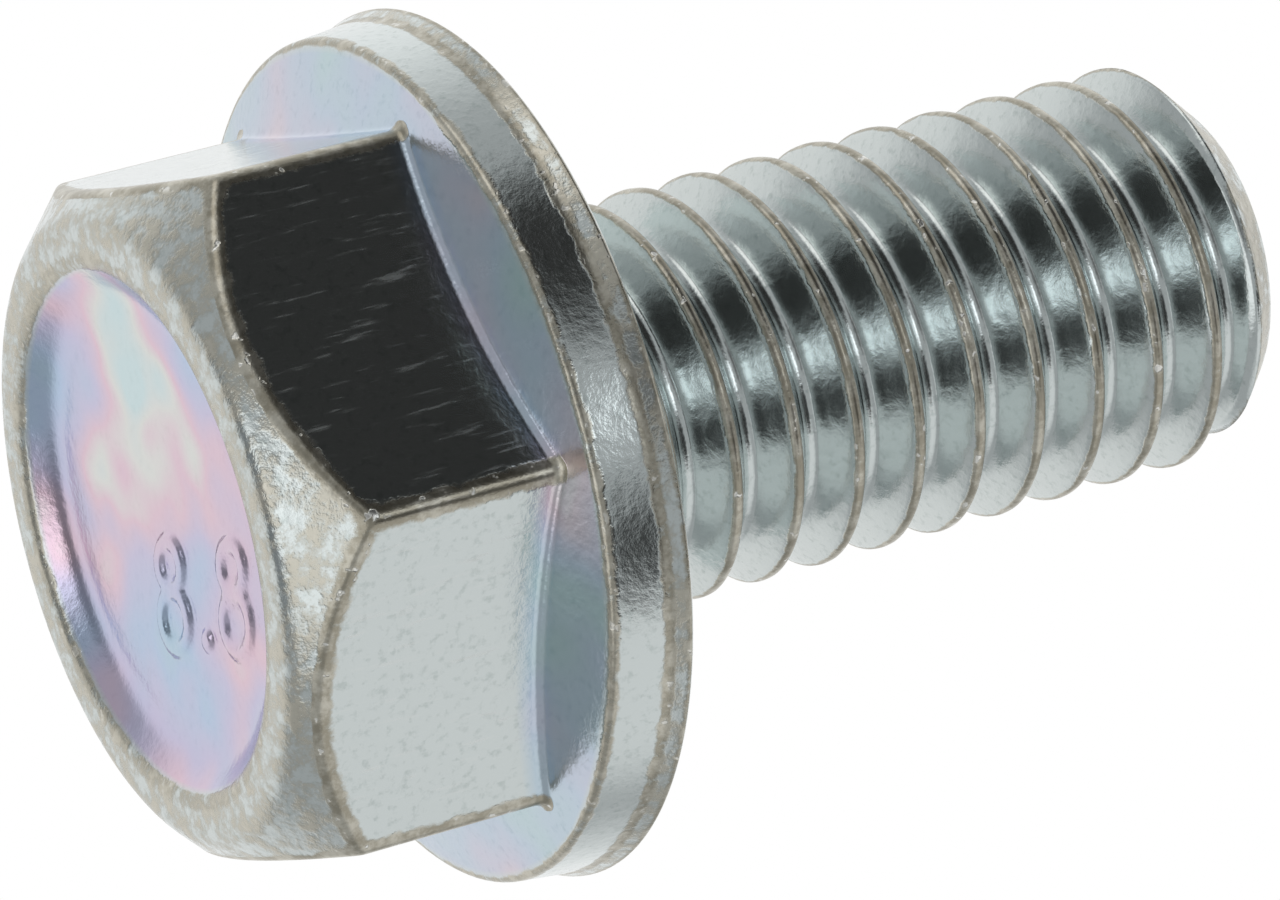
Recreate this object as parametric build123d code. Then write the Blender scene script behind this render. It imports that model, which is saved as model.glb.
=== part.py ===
from build123d import *
import math
import os

# Flange bolt, M6 x 12, forged and rolled in one piece, zinc plated steel.
# It stands on the crown of its head, with its axis along Z. The bearing face
# is the plane Z = 0, the head lies below it and the shank rises from it.

# ---- thread: coarse, right-hand, rolled almost up to the head
MAJOR_DIAMETER = 5.95        # over the crests
PITCH = 1.0
FLANK_ANGLE = 60.0           # between the two flanks of the groove
THREAD_DEPTH = 0.58          # crest to root
ROOT_WIDTH = 0.20            # flat at the bottom of the groove
THREAD_START_ANGLE = 329.4   # where the groove begins, about the axis
THREAD_OVERRUN = 0.9         # turns of the groove past the tip
GROOVE_CLEARANCE = 0.05      # of the groove's mouth over the crests
FIRST_SEAM = 200.0           # first try for the blank's seam, from the groove's start
SEAM_STEP = 15               # between the tries for the blank's seam, in degrees

# ---- shank
SHANK_LENGTH = 12.0          # bearing face to tip
NECK_LENGTH = 0.60           # plain neck between the bearing face and the thread
NECK_DIAMETER = 5.35         # the blank that the thread is rolled on
TIP_DIAMETER = 4.48          # flat end of the point
TIP_CHAMFER_ANGLE = 45.0     # measured from the axis
TIP_ROUND = 0.12             # chamfer into the flat end

# ---- flange, from the bearing face towards the crown
FLANGE_DIAMETER = 12.70      # over the lip
LIP_HEIGHT = 0.34            # flared lip beside the bearing face
LIP_FLARE = 0.11             # how far the lip stands out from the band
BAND_HEIGHT = 0.84           # nearly upright band above the lip
BAND_DRAFT = 0.09            # how far the band leans in over its height
CONE_ANGLE = 17.0            # rise of the flange's upper face towards the axis
RIM_ROUND = 0.06             # on the three edges of the rim

# ---- hexagon
HEAD_SIDES = 6
ACROSS_FLATS = 9.64          # a 10 mm spanner size at its lower limit
CORNER_ROUND = 0.22
HEAD_HEIGHT = 5.35           # bearing face to the crown

# ---- crown, with its shallow dished recess
CROWN_DIAMETER = 8.94        # where the flat ring meets the chamfer
CROWN_CHAMFER_ANGLE = 45.0
CROWN_ROUND = 0.45
CROWN_RING_WIDTH = 0.60      # flat ring between the chamfer and the recess
RECESS_WALL_WIDTH = 0.52     # how far the recess's wall leans in over its depth
RECESS_DEPTH = 0.40
RECESS_RIM_ROUND = 0.16
RECESS_FLOOR_ROUND = 0.30

# ---- sizes that follow
major_radius = MAJOR_DIAMETER / 2
root_radius = major_radius - THREAD_DEPTH
neck_radius = NECK_DIAMETER / 2
tip_radius = TIP_DIAMETER / 2
tip_chamfer_length = (major_radius - tip_radius) / math.tan(math.radians(TIP_CHAMFER_ANGLE))
flange_radius = FLANGE_DIAMETER / 2
lip_top_radius = flange_radius - LIP_FLARE
band_top_radius = lip_top_radius - BAND_DRAFT
rim_height = LIP_HEIGHT + BAND_HEIGHT
corner_radius = ACROSS_FLATS / 2 / math.cos(math.pi / HEAD_SIDES)
cone_slope = math.tan(math.radians(CONE_ANGLE))
crown_radius = CROWN_DIAMETER / 2
recess_radius = crown_radius - CROWN_RING_WIDTH
recess_floor_radius = recess_radius - RECESS_WALL_WIDTH
chamfer_slope = math.tan(math.radians(CROWN_CHAMFER_ANGLE))
flank_slope = math.tan(math.radians(FLANK_ANGLE / 2))


def turned(outline, rounds):
    """A solid of revolution about Z. outline is a closed (radius, height) polygon whose
    first two corners lie on the axis, and rounds gives a corner's number and its radius."""
    with BuildPart() as body:
        with BuildSketch(Plane.XZ) as section:
            with BuildLine():
                Polyline(*outline, close=True)
            make_face()
            for number, radius in rounds:
                corner = section.vertices().sort_by_distance(Vector(*outline[number], 0))
                fillet(corner[0], radius)
        revolve(axis=Axis.Z)
    return body.part


def flange():
    """Bearing face, flared lip, band and the shallow cone that carries the hexagon."""
    inner_radius = ACROSS_FLATS / 4
    inner_height = rim_height + (band_top_radius - inner_radius) * cone_slope
    outline = [
        (0, -inner_height),
        (0, 0),
        (flange_radius - RIM_ROUND, 0),
        (flange_radius, -RIM_ROUND),
        (lip_top_radius, -LIP_HEIGHT),
        (band_top_radius, -rim_height),
        (inner_radius, -inner_height),
    ]
    return turned(outline, [(5, RIM_ROUND)])


def hexagon():
    """The hexagonal prism from the bearing face to the crown, its upright edges rounded."""
    with BuildPart() as prism:
        with BuildSketch(Plane.XY) as section:
            RegularPolygon(radius=ACROSS_FLATS / 2, side_count=HEAD_SIDES, major_radius=False)
            fillet(section.vertices(), CORNER_ROUND)
        extrude(amount=-HEAD_HEIGHT)
    return prism.part


def crown_envelope():
    """What the hexagon is turned down to: chamfer, ring and dished recess."""
    reach = corner_radius + 1.0
    reach_height = HEAD_HEIGHT - (reach - crown_radius) * chamfer_slope
    outline = [
        (0, -(HEAD_HEIGHT - RECESS_DEPTH)),
        (0, 1.0),
        (reach, 1.0),
        (reach, -reach_height),
        (crown_radius, -HEAD_HEIGHT),
        (recess_radius, -HEAD_HEIGHT),
        (recess_floor_radius, -(HEAD_HEIGHT - RECESS_DEPTH)),
    ]
    rounds = [(4, CROWN_ROUND), (5, RECESS_RIM_ROUND), (6, RECESS_FLOOR_ROUND)]
    return turned(outline, rounds)


def shank():
    """Neck, threaded length and chamfered point, before the groove is cut."""
    shoulder = NECK_LENGTH + major_radius - neck_radius
    outline = [
        (0, SHANK_LENGTH),
        (0, -LIP_HEIGHT),
        (neck_radius, -LIP_HEIGHT),
        (neck_radius, NECK_LENGTH),
        (major_radius, shoulder),
        (major_radius, SHANK_LENGTH - tip_chamfer_length),
        (tip_radius, SHANK_LENGTH),
    ]
    return turned(outline, [(6, TIP_ROUND)])


def thread_groove():
    """The V groove, swept along its root helix from the neck to past the point."""
    start = NECK_LENGTH / 2
    length = SHANK_LENGTH - start + THREAD_OVERRUN * PITCH
    mouth_radius = major_radius + GROOVE_CLEARANCE
    mouth = ROOT_WIDTH + 2 * (mouth_radius - root_radius) * flank_slope
    helix = Helix(pitch=PITCH, height=length, radius=root_radius, center=(0, 0, start))
    with BuildSketch(Plane(origin=(0, 0, start), x_dir=(1, 0, 0), z_dir=(0, -1, 0))) as section:
        with BuildLine():
            Polyline(
                (root_radius, -ROOT_WIDTH / 2),
                (mouth_radius, -mouth / 2),
                (mouth_radius, mouth / 2),
                (root_radius, ROOT_WIDTH / 2),
                close=True,
            )
        make_face()
    return sweep(section.sketch, path=helix, is_frenet=True).rotate(Axis.Z, THREAD_START_ANGLE)


def threaded_shank():
    """The shank with its groove. The turned blank's seam has to miss the groove's ends,
    so the seam is moved round until the cut comes out whole."""
    groove = thread_groove()
    blank = shank()
    expected = groove_volume()
    for seam in range(0, 360, SEAM_STEP):
        threaded = blank.rotate(Axis.Z, THREAD_START_ANGLE + FIRST_SEAM - seam) - groove
        removed = blank.volume - threaded.volume
        whole = threaded.is_valid and len(threaded.solids()) == 1
        if whole and abs(removed / expected - 1) < 0.08:
            return threaded
    raise ValueError("no seam angle lets the thread be cut whole")


def groove_volume():
    """Roughly what the groove takes out of the shank between the neck and the point."""
    area = THREAD_DEPTH * (ROOT_WIDTH + THREAD_DEPTH * flank_slope)
    turns = (SHANK_LENGTH - tip_chamfer_length - NECK_LENGTH) / PITCH
    return area * turns * 2 * math.pi * (root_radius + 0.55 * THREAD_DEPTH)


bolt = (flange() + hexagon()) & crown_envelope()
bolt = bolt + threaded_shank()
bolt.label = "flange_bolt"
os.makedirs("parts", exist_ok=True)
export_step(bolt, "parts/flange_bolt.step")
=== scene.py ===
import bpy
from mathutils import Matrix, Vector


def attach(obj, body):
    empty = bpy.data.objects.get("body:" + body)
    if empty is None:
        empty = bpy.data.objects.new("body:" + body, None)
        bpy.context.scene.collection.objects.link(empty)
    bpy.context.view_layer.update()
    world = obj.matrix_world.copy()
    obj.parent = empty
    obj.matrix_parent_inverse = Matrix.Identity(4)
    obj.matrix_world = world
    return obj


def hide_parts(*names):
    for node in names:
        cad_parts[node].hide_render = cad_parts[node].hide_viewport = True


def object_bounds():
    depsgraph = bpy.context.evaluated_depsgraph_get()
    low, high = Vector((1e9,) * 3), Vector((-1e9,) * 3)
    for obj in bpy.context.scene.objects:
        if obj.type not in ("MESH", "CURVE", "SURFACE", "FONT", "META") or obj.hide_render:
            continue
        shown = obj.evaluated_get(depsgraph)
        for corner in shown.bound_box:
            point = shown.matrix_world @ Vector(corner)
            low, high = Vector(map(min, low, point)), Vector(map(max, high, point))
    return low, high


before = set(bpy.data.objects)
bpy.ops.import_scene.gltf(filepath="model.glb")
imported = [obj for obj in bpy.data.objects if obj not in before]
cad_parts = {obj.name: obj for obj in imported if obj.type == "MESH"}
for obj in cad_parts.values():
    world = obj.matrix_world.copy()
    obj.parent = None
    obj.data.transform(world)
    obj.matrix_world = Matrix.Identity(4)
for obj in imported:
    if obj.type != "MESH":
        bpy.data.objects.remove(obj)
import math

import bmesh
import bpy
import numpy as np
from mathutils import Matrix, Vector

CAD_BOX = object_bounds()

# ---- sizes, in millimetres, from the bolt's own box
MM = 0.001
CAD_LOW = np.array(CAD_BOX[0]) / MM
CAD_HIGH = np.array(CAD_BOX[1]) / MM
FLANGE_RADIUS = CAD_HIGH[0]
HEAD_HEIGHT = -CAD_LOW[2]
SHANK_LENGTH = CAD_HIGH[2]

# thread
PITCH = 1.0
CREST_RADIUS = 2.975
ROOT_RADIUS = 2.395
ROOT_FLAT = 0.10             # half the width of the flat at the root
FLANK_LEAN = 30.0            # of each flank, in degrees from square to the axis
SECTION_ROUND = 0.035        # half the window that rounds the section's corners
CREST_PHASE = 0.884          # height of a crest's middle at angle zero
GROOVE_START = (0.62, 0.95)  # heights between which the groove deepens
CREST_WEAR = (0.06, 0.115)   # distances from a crest's middle between which its worn line fades out
CREST_WEAR_DEPTH = 0.10      # no worn line further than this below the crests

# neck and point
NECK_RADIUS = 2.675
NECK_TOP = 0.60              # where the neck starts to widen to the crests
NECK_SEAM = 0.35             # ring where head and thread meet
NECK_FILLET = 0.20
TIP_RADIUS = 2.24
TIP_SEAM = 0.14              # ring where thread and point meet, below the end
TIP_CUT = 0.10               # cut back from the end's corner for its round
TIP_WEAR_LENGTH = 0.50
TIP_WEAR = 0.7               # on the point's slope
TIP_EDGE_WEAR = 0.6          # on its round edge
TIP_END_WEAR = 0.2           # on its flat end
TOUCH = 0.01                 # a surface this near the slope lies on it

# head and flange
FLAT_RADIUS = 4.82           # half the size across flats
CORNER_ROUND = 0.22
CORNER_WEAR = (26.5, 29.2)   # degrees from a flat's middle between which the worn corner comes in
CROWN_RADIUS = 4.47
RECESS_RADIUS = 3.87
RECESS_FLOOR_RADIUS = 3.35
RECESS_DEPTH = 0.40
RIM_HEIGHT = 1.18
LIP_HEIGHT = 0.34
LIP_FLARE = 0.11
BAND_DRAFT = 0.09
EDGE_ROUND = 0.06
CONE_SLOPE = math.tan(math.radians(17))

# corners of the head's profile, counted from the middle of the recess, and the run after a corner
FLOOR_EDGE = 1
RECESS_RIM = 2
CROWN_EDGE = 3
CHAMFER_EDGE = 4
FOOT = 5
BAND_EDGE = 6
LIP_EDGE = 7
LIP_FACE = 8
RUN = 0.5

# masks on the surface, from 0 to 1
MASKS = ("worn", "tinted", "spanner_flat")
CONE_TINT = 0.6              # against 1 in the recess
WORN_PLACES = (
    (RECESS_RIM, 0.70),
    (RECESS_RIM + RUN, 0.60),
    (CROWN_EDGE, 0.62),
    (CROWN_EDGE + RUN, 0.58),
    (CHAMFER_EDGE, 0.90),
    (BAND_EDGE, 0.75),
    (LIP_EDGE, 0.80),
    (LIP_FACE, 0.80),
)
LIP_WEAR = 0.60              # the least on the lip

# raised strength grade 8.8 on the recess floor
MARKS_TURN = 60.0            # of the line of marks against the X axis, in degrees
MARKS_MIDDLE = (0.90, -0.97)  # to the right and up, as the marks are read
MARKS_SPACING = 2.15         # between the middles of the two eights
MARKS_LEAN = 0.30            # to the right for each unit up
MARKS_STROKE = 0.18          # half the width of a stroke
MARKS_STROKE_TOP = 0.35      # share of it that is level
MARKS_RISE = 0.07
EIGHT_LOOPS = ((0.41, 0.38, 0.34), (-0.38, 0.45, 0.42))  # middle, half width and half height of each
DOT_DROP = 0.66
DOT_RADIUS = 0.04

# grid
COLUMNS_PER_FLAT = 40
CORNER_CROWDING = 0.75       # 0 spaces the columns evenly, near 1 packs them at the corners
STATIONS = (0, 0.05, 0.08, 0.12, 0.20, 0.30, 0.38, 0.43)  # rows each side of a crest's middle, in pitches
MERGE_GAP = 2e-7             # metres between points that are one
SLIVER = 1e-7                # metres, the longest edge taken for none
WINDOW_STEPS = 7             # samples that round the thread's section
ROUND_STEPS = 5              # strips in a rounded corner of a profile


# ---- geometry

def column_angles():
    """Angles round the axis, in radians, closed, from the corner at zero: within each sixth,
    angle = 60 deg * (u + k * sin(2 pi u) / 2 pi) for u from -1/2 to 1/2, so that columns crowd at the
    hexagon's corners."""
    u = np.arange(COLUMNS_PER_FLAT) / COLUMNS_PER_FLAT - 0.5
    sixth = (u + CORNER_CROWDING * np.sin(2 * np.pi * u) / (2 * np.pi)) * np.pi / 3
    turns = (np.arange(6)[:, None] + 0.5) * np.pi / 3
    angle = (sixth[None, :] + turns).ravel()
    return np.append(angle, angle[0] + 2 * np.pi)


def from_flat(angle):
    """Angle between a direction and the middle of its flat: |angle mod 60 deg - 30 deg|."""
    return np.abs(angle % (np.pi / 3) - np.pi / 6)


def hexagon_radius(angle):
    """Distance from the axis to the rounded hexagon: a / cos(phi) on a flat whose middle is at phi = 0, and
    beside a corner the far root of its circle, d cos(delta) + sqrt(rho^2 - d^2 sin^2(delta))."""
    phi = from_flat(angle)
    inner = FLAT_RADIUS - CORNER_ROUND
    centre = inner / math.cos(math.pi / 6)
    edge = math.atan2(inner * math.tan(math.pi / 6), FLAT_RADIUS)
    delta = np.pi / 6 - phi
    root = np.sqrt(np.maximum(CORNER_ROUND**2 - (centre * np.sin(delta))**2, 0))
    return np.where(phi < edge, FLAT_RADIUS / np.cos(phi), centre * np.cos(delta) + root)


def towards(start, end, length):
    """The point that far from start on the way to end: start + length * (end - start) / |end - start|."""
    way = end - start
    return start + length * way / np.linalg.norm(way, axis=-1, keepdims=True)


def rounded_profile(corners, angle):
    """Rows of a profile that turns round the axis. Each corner is (radius, height, cut, rows on the next
    run), where radius and height may change with the angle. It is cut back by its cut on both sides and
    rounded with a quadratic curve, (1-u)^2 A + 2u(1-u) C + u^2 B. Returns the rows as (row, column, radius
    and height), and beside them each row's place: the corner's number in a round, and half more on the run
    after it."""
    level = np.zeros_like(angle)
    points = np.stack([np.stack([r + level, z + level], -1) for r, z, _, _ in corners])
    u = np.linspace(0, 1, ROUND_STEPS + 1)[:, None, None]
    rows = [points[:1]]
    places = [np.zeros(1)]
    start = points[0]
    for k in range(1, len(points)):
        cut = corners[k][2]
        fill = corners[k - 1][3]
        here = points[k]
        a = towards(here, points[k - 1], cut)
        rows.append(start + (a - start) * (np.arange(1, fill + 1) / (fill + 1))[:, None, None])
        places.append(np.full(fill, k - RUN))
        if k == len(points) - 1:
            rows.append(here[None])
            places.append(np.full(1, float(k)))
        else:
            start = towards(here, points[k + 1], cut)
            rows.append((1 - u)**2 * a + 2 * u * (1 - u) * here + u**2 * start)
            places.append(np.full(ROUND_STEPS + 1, float(k)))
    return np.concatenate(rows), np.concatenate(places)


def smooth_step(low, high, value):
    """3t^2 - 2t^3 with t = (value - low) / (high - low) held between 0 and 1."""
    t = np.clip((value - low) / (high - low), 0, 1)
    return t * t * (3 - 2 * t)


def grade_marks(x, y):
    """Height of the raised strength grade 8.8 on the recess floor: each 8 is the nearer of two rings' centre
    lines, the point is a dot, and the stroke rises by a smooth step within its half width."""
    turn = math.radians(MARKS_TURN)
    right = -(x * math.cos(turn) + y * math.sin(turn)) - MARKS_MIDDLE[0]
    up = -x * math.sin(turn) + y * math.cos(turn) - MARKS_MIDDLE[1]
    right = right - MARKS_LEAN * up
    nearest = np.maximum(np.hypot(right, up + DOT_DROP) - DOT_RADIUS, 0)
    for centre in (-MARKS_SPACING / 2, MARKS_SPACING / 2):
        for middle, half_width, half_height in EIGHT_LOOPS:
            ring = np.hypot((right - centre) / half_width, (up - middle) / half_height)
            nearest = np.minimum(nearest, np.abs(ring - 1) * min(half_width, half_height))
    return MARKS_RISE * (1 - smooth_step(MARKS_STROKE * MARKS_STROKE_TOP, MARKS_STROKE, nearest))


def head_masks(place, angle):
    """How worn and how tinted each point of the head is, and whether it lies on a spanner flat."""
    place = place[:, None]
    one = np.ones_like(angle)
    worn = 0 * place * one
    for number, amount in WORN_PLACES:
        worn = np.where(place == number, amount, worn)
    low, high = np.radians(CORNER_WEAR)
    corner = smooth_step(low, high, from_flat(angle)) * one
    on_hexagon = (place >= CHAMFER_EDGE) & (place <= FOOT)
    worn = np.maximum(worn, np.where(on_hexagon, corner, 0))
    on_lip = (place >= LIP_EDGE) & (place <= LIP_FACE + RUN)
    worn = np.where(on_lip, np.maximum(worn, LIP_WEAR), worn)
    in_recess = place <= FLOOR_EDGE + RUN
    on_cone = (place >= FOOT) & (place < BAND_EDGE)
    tinted = (1.0 * in_recess + CONE_TINT * on_cone) * one
    flat = (place == CHAMFER_EDGE + RUN) * one
    return worn, tinted, flat


def turned_points(radius, angle, height):
    """(x, y, z) from radius, angle and height: x = r cos(a), y = r sin(a)."""
    return np.stack([radius * np.cos(angle), radius * np.sin(angle), height], -1)


def head_grid(angle):
    """Points from the middle of the recess over crown, hexagon, flange and bearing face to the neck, and
    their masks. The raised marks push the recess floor down by their height."""
    hexagon = hexagon_radius(angle)
    band_top = FLANGE_RADIUS - LIP_FLARE - BAND_DRAFT
    floor = -(HEAD_HEIGHT - RECESS_DEPTH)
    corners = (
        (0, floor, 0, 62),
        (RECESS_FLOOR_RADIUS, floor, 0.24, 2),
        (RECESS_RADIUS, -HEAD_HEIGHT, 0.10, 3),
        (CROWN_RADIUS, -HEAD_HEIGHT, 0.20, 6),
        (hexagon, hexagon - CROWN_RADIUS - HEAD_HEIGHT, 0.10, 12),
        (hexagon, -RIM_HEIGHT - (band_top - hexagon) * CONE_SLOPE, 0.13, 8),
        (band_top, -RIM_HEIGHT, 0.07, 4),
        (FLANGE_RADIUS - LIP_FLARE, -LIP_HEIGHT, 0.05, 3),
        (FLANGE_RADIUS, -EDGE_ROUND, 0.025, 1),
        (FLANGE_RADIUS - EDGE_ROUND, 0, 0.025, 6),
        (NECK_RADIUS, 0, NECK_FILLET, 1),
        (NECK_RADIUS, NECK_SEAM, 0, 0),
    )
    profile, place = rounded_profile(corners, angle)
    points = turned_points(profile[..., 0], angle, profile[..., 1])
    on_floor = (place == RUN)[:, None]
    points[..., 2] -= np.where(on_floor, grade_marks(points[..., 0], points[..., 1]), 0)
    return points, *head_masks(place, angle)


def section_radius(away):
    """Thread radius at a distance from the crest's middle: a straight flank between the flats of crest and
    root, averaged over a short window so that its corners come out round."""
    window = np.linspace(-SECTION_ROUND, SECTION_ROUND, WINDOW_STEPS)
    along = 0.5 * PITCH - ROOT_FLAT - np.abs(away[..., None] + window)
    rise = along / math.tan(math.radians(FLANK_LEAN))
    return ROOT_RADIUS + np.clip(rise, 0, CREST_RADIUS - ROOT_RADIUS).mean(-1)


def thread_grid(angle):
    """Points on rows that follow the helix, and their masks: height = row's own height + pitch * angle /
    2 pi, held between neck and point, and radius = the least of the envelope and the thread's section.
    There are turns enough for the slanted rows to reach neck and point at every angle."""
    half = np.array(STATIONS) * PITCH
    station = np.concatenate([-half[:0:-1], half, [0.5 * PITCH]])
    top = SHANK_LENGTH - TIP_SEAM
    first = math.floor((NECK_SEAM - CREST_PHASE) / PITCH) - 2
    last = math.ceil((top - CREST_PHASE) / PITCH) + 1
    rows = (np.arange(first, last + 1)[:, None] * PITCH + station).ravel() + CREST_PHASE
    rise = PITCH * angle / (2 * np.pi)
    height = np.clip(rows[:, None] + rise, NECK_SEAM, top)
    phase = (height - rise - CREST_PHASE) / PITCH
    away = np.abs(phase - np.round(phase)) * PITCH
    groove_middle = (np.floor(phase) + 0.5) * PITCH + CREST_PHASE + rise
    depth = smooth_step(*GROOVE_START, groove_middle) * (CREST_RADIUS - section_radius(away))
    tip_slope = SHANK_LENGTH - height + TIP_RADIUS
    neck_slope = NECK_RADIUS + np.maximum(height - NECK_TOP, 0)
    envelope = np.minimum(np.minimum(neck_slope, tip_slope), CREST_RADIUS)
    radius = np.minimum(envelope, CREST_RADIUS - depth)
    worn = np.where(radius < CREST_RADIUS - CREST_WEAR_DEPTH, 0, 1 - smooth_step(*CREST_WEAR, away))
    on_point = (height > top - TIP_WEAR_LENGTH) & (radius > tip_slope - TOUCH)
    worn = np.maximum(worn, TIP_WEAR * on_point)
    return turned_points(radius, angle, height), worn, 0 * worn, 0 * worn


def point_grid(angle):
    """Points over the round edge of the point and its flat end to the axis, and their masks."""
    corners = (
        (TIP_RADIUS + TIP_SEAM, SHANK_LENGTH - TIP_SEAM, 0, 1),
        (TIP_RADIUS, SHANK_LENGTH, TIP_CUT, 5),
        (0, SHANK_LENGTH, 0, 0),
    )
    profile, place = rounded_profile(corners, angle)
    worn = np.where((place <= 1)[:, None], TIP_EDGE_WEAR, TIP_END_WEAR) * np.ones_like(angle)
    return turned_points(profile[..., 0], angle, profile[..., 1]), worn, 0 * worn, 0 * worn


def grid_faces(rows, columns, first):
    """Quads between neighbouring rows and columns, whose points are numbered row by row from first."""
    number = first + np.arange(rows * columns).reshape(rows, columns)
    quads = [number[:-1, :-1], number[:-1, 1:], number[1:, 1:], number[1:, :-1]]
    return np.stack(quads, -1).reshape(-1, 4)


def bolt_piece():
    """The whole bolt as one closed surface: the head's, the thread's and the point's grids, with the points
    that coincide at their seams and poles made one, and the faces turned outwards."""
    angle = column_angles()
    points = []
    masks = []
    faces = []
    total = 0
    for grid, *layers in (head_grid(angle), thread_grid(angle), point_grid(angle)):
        points.append(grid.reshape(-1, 3))
        masks.append(np.stack(layers, -1).reshape(-1, 3))
        faces.append(grid_faces(*grid.shape[:2], total))
        total += grid.shape[0] * grid.shape[1]
    mesh = bpy.data.meshes.new("flange_bolt_surface")
    mesh.from_pydata((np.concatenate(points) * MM).tolist(), [], np.concatenate(faces).tolist())
    masks = np.concatenate(masks)
    for k, name in enumerate(MASKS):
        layer = mesh.attributes.new(name, "FLOAT", "POINT")
        layer.data.foreach_set("value", masks[:, k].astype(np.float32))
    work = bmesh.new()
    work.from_mesh(mesh)
    bmesh.ops.remove_doubles(work, verts=work.verts, dist=MERGE_GAP)
    bmesh.ops.dissolve_degenerate(work, edges=work.edges, dist=SLIVER)
    bmesh.ops.recalc_face_normals(work, faces=work.faces)
    work.to_mesh(mesh)
    work.free()
    mesh.shade_smooth()
    mesh.materials.append(zinc_plate())
    piece = bpy.data.objects.new("bright_zinc_bolt", mesh)
    bpy.context.collection.objects.link(piece)
    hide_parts("flange_bolt")
    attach(piece, "root")


# ---- materials

ZINC = (0.68, 0.735, 0.73, 1)
ZINC_SPECK = (0.56, 0.62, 0.61, 1)
RUBBED_DARK = (0.38, 0.355, 0.285, 1)
RUBBED_PALE = (0.62, 0.60, 0.52, 1)
NICK = (0.90, 0.90, 0.86, 1)
SCRATCH = (0.92, 0.92, 0.90, 1)
PASSIVATE = (
    (0.30, (0.42, 0.68, 0.74, 1)),
    (0.42, (0.46, 0.60, 0.86, 1)),
    (0.52, (0.62, 0.56, 0.82, 1)),
    (0.60, (0.84, 0.56, 0.70, 1)),
    (0.66, (0.80, 0.80, 0.78, 1)),
    (0.72, (0.62, 0.80, 0.84, 1)),
)
FLOOR_PALE = (0.86, 0.86, 0.85, 1)
WHITE = (1, 1, 1, 1)

PLATE_ROUGHNESS = 0.145
RUBBED_ROUGHNESS = 0.14      # more where it is rubbed
SCRATCH_ROUGHNESS = 0.18     # more in a scratch
FLOOR_ROUGHNESS = 0.8
BUMP_STRENGTH = 0.40
BUMP_DEPTH = 0.00004         # metres
FLOOR_REACH = 0.4            # metres from the axis to the floor's sides

# noise cells a metre
TINT_CELLS = 330
DIMPLE_CELLS = 1400
PATCH_CELLS = 2600
NICK_CELLS = 5200
GRAIN_CELLS = 7000
STREAK_CELLS = 9000


def add(tree, kind, **settings):
    """A node of that kind with its settings, and with the plain values given by name or number in inputs."""
    node = tree.nodes.new(kind)
    for name, value in settings.items():
        if name == "inputs":
            for socket, number in value.items():
                node.inputs[socket].default_value = number
        else:
            setattr(node, name, value)
    return node


def feed(tree, socket, value):
    """Links the socket to another socket, or sets it to a plain number or colour."""
    if isinstance(value, bpy.types.NodeSocket):
        tree.links.new(value, socket)
    else:
        socket.default_value = value


def mix_colour(tree, factor, a, b):
    """Colour a turned into b by factor."""
    node = add(tree, "ShaderNodeMix", data_type="RGBA")
    for number, value in ((0, factor), (6, a), (7, b)):
        feed(tree, node.inputs[number], value)
    return node.outputs[2]


def maths(tree, operation, *values):
    """One Math node."""
    node = add(tree, "ShaderNodeMath", operation=operation)
    for socket, value in zip(node.inputs, values):
        feed(tree, socket, value)
    return node.outputs[0]


def plus(tree, a, b):
    """a + b"""
    return maths(tree, "ADD", a, b)


def times(tree, a, b):
    """a * b"""
    return maths(tree, "MULTIPLY", a, b)


def ramp(tree, value, low, high):
    """0 below low and 1 above high, with a smooth step between."""
    node = add(tree, "ShaderNodeMapRange", interpolation_type="SMOOTHSTEP", inputs={1: low, 2: high})
    tree.links.new(value, node.inputs[0])
    return node.outputs[0]


def noise(tree, place, cells, detail, roughness):
    """Noise with that many cells a metre, read at the given place."""
    node = add(tree, "ShaderNodeTexNoise", inputs={"Scale": cells, "Detail": detail, "Roughness": roughness})
    tree.links.new(place, node.inputs["Vector"])
    return node.outputs[0]


def effect_group(name, **outs):
    """An empty shader node group that reads a Place and puts out the named sockets. Returns the group, its
    Place and its output node."""
    tree = bpy.data.node_groups.new(name, "ShaderNodeTree")
    tree.interface.new_socket("Place", in_out="INPUT", socket_type="NodeSocketVector")
    for label, kind in outs.items():
        tree.interface.new_socket(label, in_out="OUTPUT", socket_type=kind)
    start = tree.nodes.new("NodeGroupInput")
    return tree, start.outputs["Place"], tree.nodes.new("NodeGroupOutput")


def plating_skin():
    """Fine dimples, specks and drawn streaks of bright zinc plate: gives Height, Speck and Streak."""
    kind = "NodeSocketFloat"
    tree, place, end = effect_group("plating_skin", Height=kind, Speck=kind, Streak=kind)
    dimple = noise(tree, place, DIMPLE_CELLS, 2.0, 0.55)
    grain = noise(tree, place, GRAIN_CELLS, 4.0, 0.65)
    stretch = add(tree, "ShaderNodeMapping", inputs={"Scale": (1.0, 1.0, 0.12)})
    tree.links.new(place, stretch.inputs["Vector"])
    streak = noise(tree, stretch.outputs[0], STREAK_CELLS, 3.0, 0.6)
    height = plus(tree, times(tree, dimple, 0.6), times(tree, grain, 0.4))
    tree.links.new(height, end.inputs["Height"])
    tree.links.new(ramp(tree, grain, 0.50, 0.72), end.inputs["Speck"])
    tree.links.new(ramp(tree, streak, 0.56, 0.74), end.inputs["Streak"])
    return tree


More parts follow.
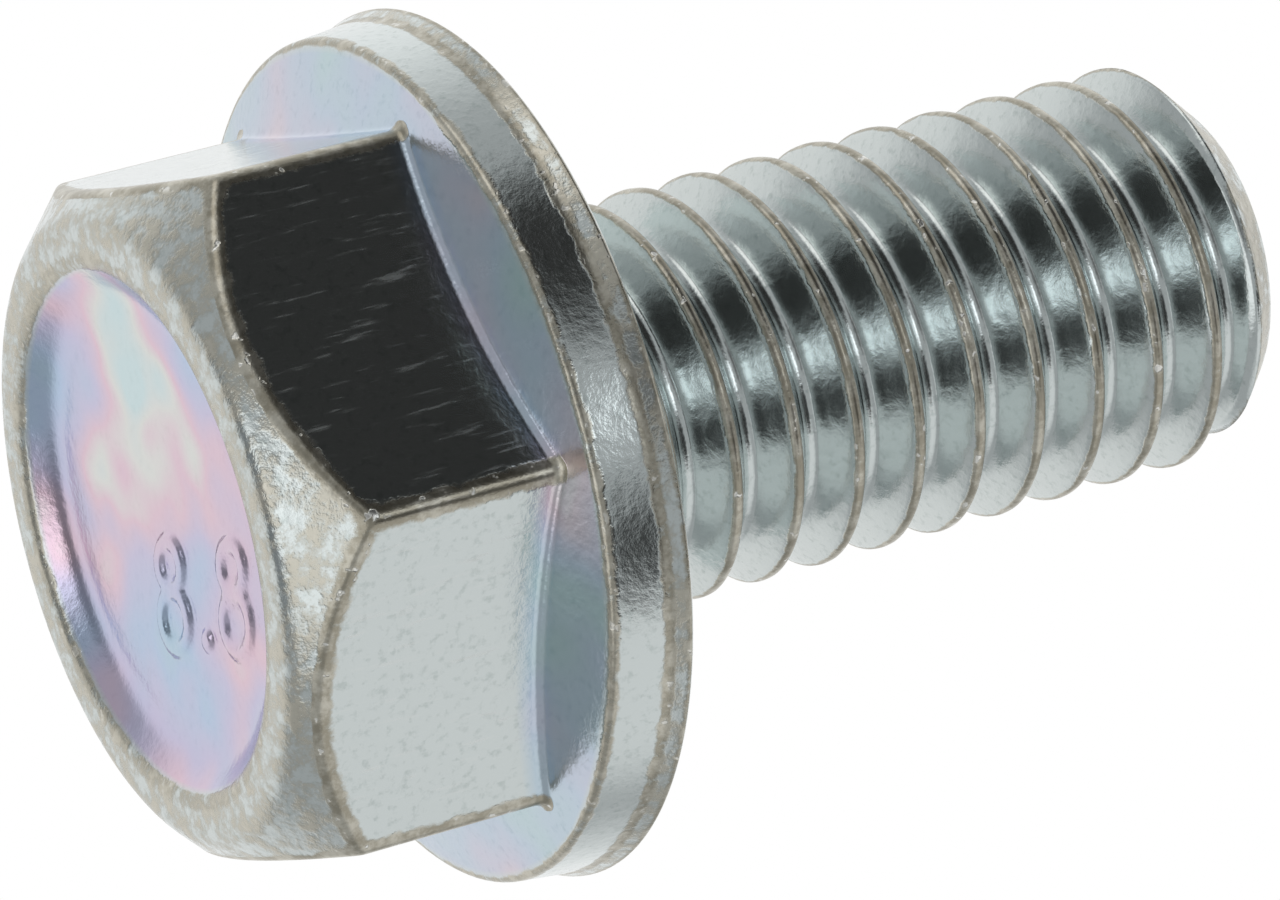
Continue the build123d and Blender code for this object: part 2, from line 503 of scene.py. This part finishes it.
def passivate_tint():
    """Pale rainbow of the clear passivate: a slow noise run through teal, blue, lilac, pink and grey."""
    tree, place, end = effect_group("passivate_tint", Colour="NodeSocketColor")
    slow = noise(tree, place, TINT_CELLS, 2.0, 0.5)
    bands = add(tree, "ShaderNodeValToRGB")
    stops = bands.color_ramp.elements
    for stop, (position, colour) in zip(stops, (PASSIVATE[0], PASSIVATE[-1])):
        stop.position = position
        stop.color = colour
    for position, colour in PASSIVATE[1:-1]:
        stops.new(position).color = colour
    tree.links.new(slow, bands.inputs[0])
    tree.links.new(bands.outputs[0], end.inputs["Colour"])
    return tree


def placed_group(tree, group, place):
    """The effect group as a node of this material, read at the given place."""
    node = add(tree, "ShaderNodeGroup", node_tree=group)
    tree.links.new(place, node.inputs["Place"])
    return node.outputs


def zinc_plate():
    """Bright zinc on steel, rubbed to a dull brown grey with bright nicks along its edges and crests."""
    material = bpy.data.materials.new("bright_zinc_plate")
    material.use_nodes = True
    tree = material.node_tree
    shader = tree.nodes["Principled BSDF"]
    shader.inputs["Metallic"].default_value = 1.0
    place = add(tree, "ShaderNodeTexCoord").outputs["Object"]
    skin = placed_group(tree, plating_skin(), place)
    tint = placed_group(tree, passivate_tint(), place)
    mask = {name: add(tree, "ShaderNodeAttribute", attribute_name=name).outputs["Fac"] for name in MASKS}

    # where the plate is rubbed, nicked and scratched
    patch = noise(tree, place, PATCH_CELLS, 4.0, 0.7)
    rubbed = ramp(tree, plus(tree, mask["worn"], times(tree, patch, 1.3)), 1.10, 1.42)
    nick = ramp(tree, noise(tree, place, NICK_CELLS, 2.0, 0.5), 0.64, 0.70)
    nick = times(tree, nick, ramp(tree, mask["worn"], 0.55, 0.95))
    scratch = times(tree, skin["Streak"], mask["spanner_flat"])

    # colour
    colour = mix_colour(tree, skin["Speck"], ZINC, ZINC_SPECK)
    colour = mix_colour(tree, times(tree, mask["tinted"], 0.75), colour, tint["Colour"])
    dull = mix_colour(tree, ramp(tree, patch, 0.4, 0.65), RUBBED_DARK, RUBBED_PALE)
    colour = mix_colour(tree, rubbed, colour, dull)
    colour = mix_colour(tree, nick, colour, NICK)
    colour = mix_colour(tree, times(tree, scratch, 0.25), colour, SCRATCH)
    tree.links.new(colour, shader.inputs["Base Color"])

    # gloss
    roughness = plus(tree, times(tree, rubbed, RUBBED_ROUGHNESS), PLATE_ROUGHNESS)
    roughness = plus(tree, roughness, times(tree, scratch, SCRATCH_ROUGHNESS))
    tree.links.new(roughness, shader.inputs["Roughness"])

    # relief: dimples and grain, sunk nicks and raised patches
    relief = plus(tree, skin["Height"], times(tree, nick, -0.7))
    relief = plus(tree, relief, times(tree, rubbed, times(tree, patch, 0.6)))
    bump = add(tree, "ShaderNodeBump", inputs={"Strength": BUMP_STRENGTH, "Distance": BUMP_DEPTH})
    tree.links.new(relief, bump.inputs["Height"])
    tree.links.new(bump.outputs[0], shader.inputs["Normal"])
    return material


def pale_floor():
    """The floor under the crown: pale from above, and clear from below so that it hides nothing."""
    level = -HEAD_HEIGHT * MM
    sides = ((-1, -1), (1, -1), (1, 1), (-1, 1))
    mesh = bpy.data.meshes.new("floor")
    mesh.from_pydata([(x * FLOOR_REACH, y * FLOOR_REACH, level) for x, y in sides], [], [(0, 1, 2, 3)])
    floor = bpy.data.objects.new("floor", mesh)
    bpy.context.collection.objects.link(floor)
    material = bpy.data.materials.new("pale_floor")
    material.use_nodes = True
    tree = material.node_tree
    shader = tree.nodes["Principled BSDF"]
    shader.inputs["Base Color"].default_value = FLOOR_PALE
    shader.inputs["Roughness"].default_value = FLOOR_ROUGHNESS
    clear = add(tree, "ShaderNodeBsdfTransparent")
    choose = add(tree, "ShaderNodeMixShader")
    side = add(tree, "ShaderNodeNewGeometry")
    tree.links.new(side.outputs["Backfacing"], choose.inputs[0])
    tree.links.new(shader.outputs[0], choose.inputs[1])
    tree.links.new(clear.outputs[0], choose.inputs[2])
    tree.links.new(choose.outputs[0], tree.nodes["Material Output"].inputs[0])
    mesh.materials.append(material)
    floor.visible_glossy = False
    floor.visible_diffuse = False
    floor.visible_transmission = False
    floor.visible_shadow = False


# ---- camera and light

CAMERA_TURN = 233.01         # degrees round the axis from +X
CAMERA_RISE = -25.375        # degrees, below the floor and looking up at the crown
CAMERA_ROLL = 74.93          # degrees, which lays the bolt's axis to the right
CAMERA_AIM = (0.64, -0.31, 2.54)
CAMERA_DISTANCE = 131.0      # from the aim
CAMERA_LENS = 256.57
CAMERA_CLIP = (0.001, 10)    # metres


def camera():
    """A long lens, turned on its side so that the bolt's axis runs to the right. Returns its basis as columns
    right, up and back."""
    turn = math.radians(CAMERA_TURN)
    rise = math.radians(CAMERA_RISE)
    back = Vector((math.cos(turn) * math.cos(rise), math.sin(turn) * math.cos(rise), math.sin(rise)))
    right = Vector((0, 0, 1)).cross(back).normalized()
    basis = Matrix((right, back.cross(right), back)).transposed()
    basis = basis @ Matrix.Rotation(math.radians(CAMERA_ROLL), 3, "Z")
    data = bpy.data.cameras.new("camera")
    data.lens = CAMERA_LENS
    data.clip_start, data.clip_end = CAMERA_CLIP
    item = bpy.data.objects.new("camera", data)
    bpy.context.collection.objects.link(item)
    place = basis.to_4x4()
    place.translation = (Vector(CAMERA_AIM) + back * CAMERA_DISTANCE) * MM
    item.matrix_world = place
    bpy.context.scene.camera = item
    return np.array(basis)


# direction as (right, up, back) of the camera, half angle and softness in degrees, grey level and warmth
CARDS = (
    ((-0.20, 0.20, -0.96), 50, 30, 0.98, 0.00),
    ((-0.75, -0.20, -0.63), 34, 16, 0.84, 0.01),
    ((0.70, -0.71, 0.04), 30, 12, 0.78, 0.00),
    ((0.50, 0.76, 0.42), 23, 9, 0.03, 0.02),
    ((0.80, -0.34, 0.48), 15, 6, 0.04, 0.00),
    ((0.75, 0.17, 0.64), 9, 4, 1.60, -0.03),
    ((-0.93, -0.24, 0.27), 16, 9, 0.22, -0.04),
    ((-0.76, -0.20, 0.62), 13, 7, 1.25, 0.00),
    ((-0.35, 0.85, 0.38), 16, 8, 1.10, 0.02),
    ((-0.45, -0.55, 0.70), 16, 9, 1.05, 0.00),
    ((0.02, 0.10, 0.99), 14, 8, 0.16, 0.00),
)
ROOM = (0.42, 0.42 * 1.02, 0.42 * 1.03, 1)


def studio(basis):
    """The room round the bolt, as soft cards by direction, each laid over those before it. What the camera
    itself sees of the room is white."""
    world = bpy.data.worlds.new("studio")
    bpy.context.scene.world = world
    world.use_nodes = True
    tree = world.node_tree
    background = tree.nodes["Background"]
    direction = add(tree, "ShaderNodeTexCoord").outputs["Generated"]
    colour = ROOM
    for facing, half_angle, softness, level, warmth in CARDS:
        axis = basis @ np.array(facing)
        axis = axis / np.linalg.norm(axis)
        dot = add(tree, "ShaderNodeVectorMath", operation="DOT_PRODUCT", inputs={1: tuple(axis)})
        tree.links.new(direction, dot.inputs[0])
        low = math.cos(math.radians(half_angle + softness))
        high = math.cos(math.radians(half_angle - softness))
        card = (level * (1 + warmth), level, level * (1 - warmth), 1)
        colour = mix_colour(tree, ramp(tree, dot.outputs["Value"], low, high), colour, card)
    seen = add(tree, "ShaderNodeLightPath").outputs["Is Camera Ray"]
    tree.links.new(mix_colour(tree, seen, colour, WHITE), background.inputs[0])
    background.inputs[1].default_value = 1.0


bolt_piece()
pale_floor()
studio(camera())
bpy.context.scene.view_settings.view_transform = "Standard"
